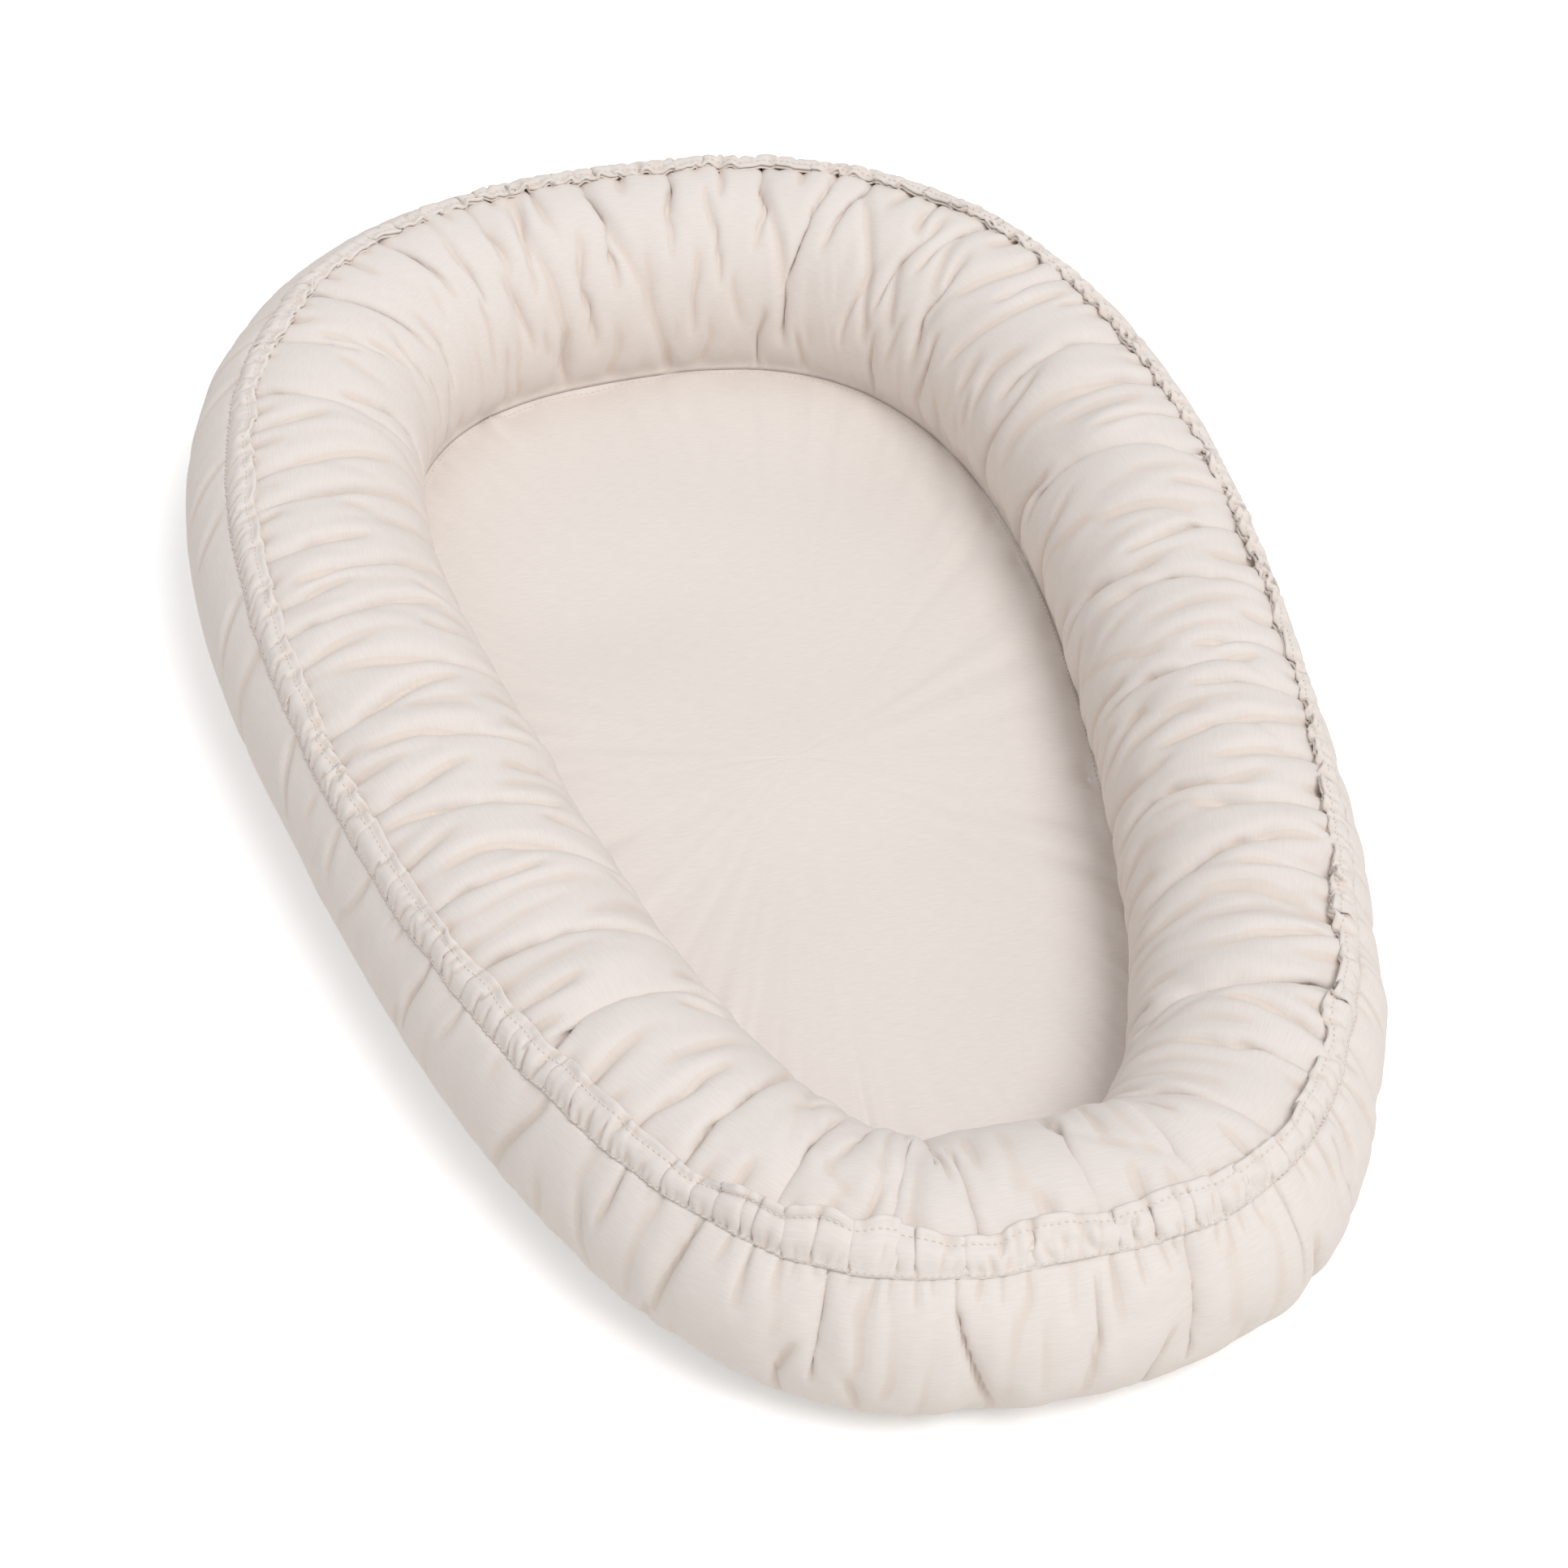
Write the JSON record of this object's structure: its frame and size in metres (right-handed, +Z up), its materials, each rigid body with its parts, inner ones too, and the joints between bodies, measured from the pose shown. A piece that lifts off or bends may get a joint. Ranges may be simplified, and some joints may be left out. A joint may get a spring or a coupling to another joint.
{
  "type": "infant lounger",
  "caption": "Oval infant lounger: a soft padded floor inside a gathered, stuffed cotton roll with a corded tunnel on its shoulder and a zip underneath.",
  "frame": {"origin": "on the ground under the middle of the nest's outer box", "axes": "+Z up from the ground, +Y along the nest to its wide head end, +X to the right when looking from the foot to the head"},
  "size_m": [0.545, 0.9, 0.1241],
  "materials": {
    "cover_cloth": "matte",
    "base_cloth": "matte",
    "wadding": "matte",
    "cotton_cord": "matte",
    "sewing_thread": "matte",
    "zip_tape": "matte",
    "nylon_coil": "satin",
    "slider_enamel": "satin"
  },
  "bodies": {
    "nest": {"crown_panel": "cover_cloth", "side_panel": "cover_cloth", "tunnel_inner_band": "cover_cloth", "tunnel_outer_band": "cover_cloth", "floor_panel": "cover_cloth", "base_panel_left": "base_cloth", "base_panel_right": "base_cloth", "seam_strip_head": "base_cloth", "seam_strip_foot": "base_cloth", "roll_filling": "wadding", "mattress_pad": "wadding", "gathering_cord": "cotton_cord", "floor_seam_thread": "sewing_thread", "tunnel_root_thread": "sewing_thread", "tunnel_edge_thread": "sewing_thread", "zip_tape_left": "zip_tape", "zip_tape_right": "zip_tape", "zip_coil_left": "nylon_coil", "zip_coil_right": "nylon_coil", "zip_top_stop": "slider_enamel", "zip_bottom_stop": "slider_enamel"},
    "slider": {"zip_slider": "slider_enamel"},
    "pull": {"zip_pull": "slider_enamel"}
  },
  "joints": [
    {"name": "zip_slider_travel", "type": "slide", "parent": "nest", "child": "slider", "axis": [0, -1, 0], "range_m": [0, 0.408]},
    {"name": "zip_pull_swing", "type": "hinge", "parent": "slider", "child": "pull", "pos_m": [0, 0.2043, 0.006], "axis": [1, 0, 0], "range_deg": [0, 170]}
  ]
}
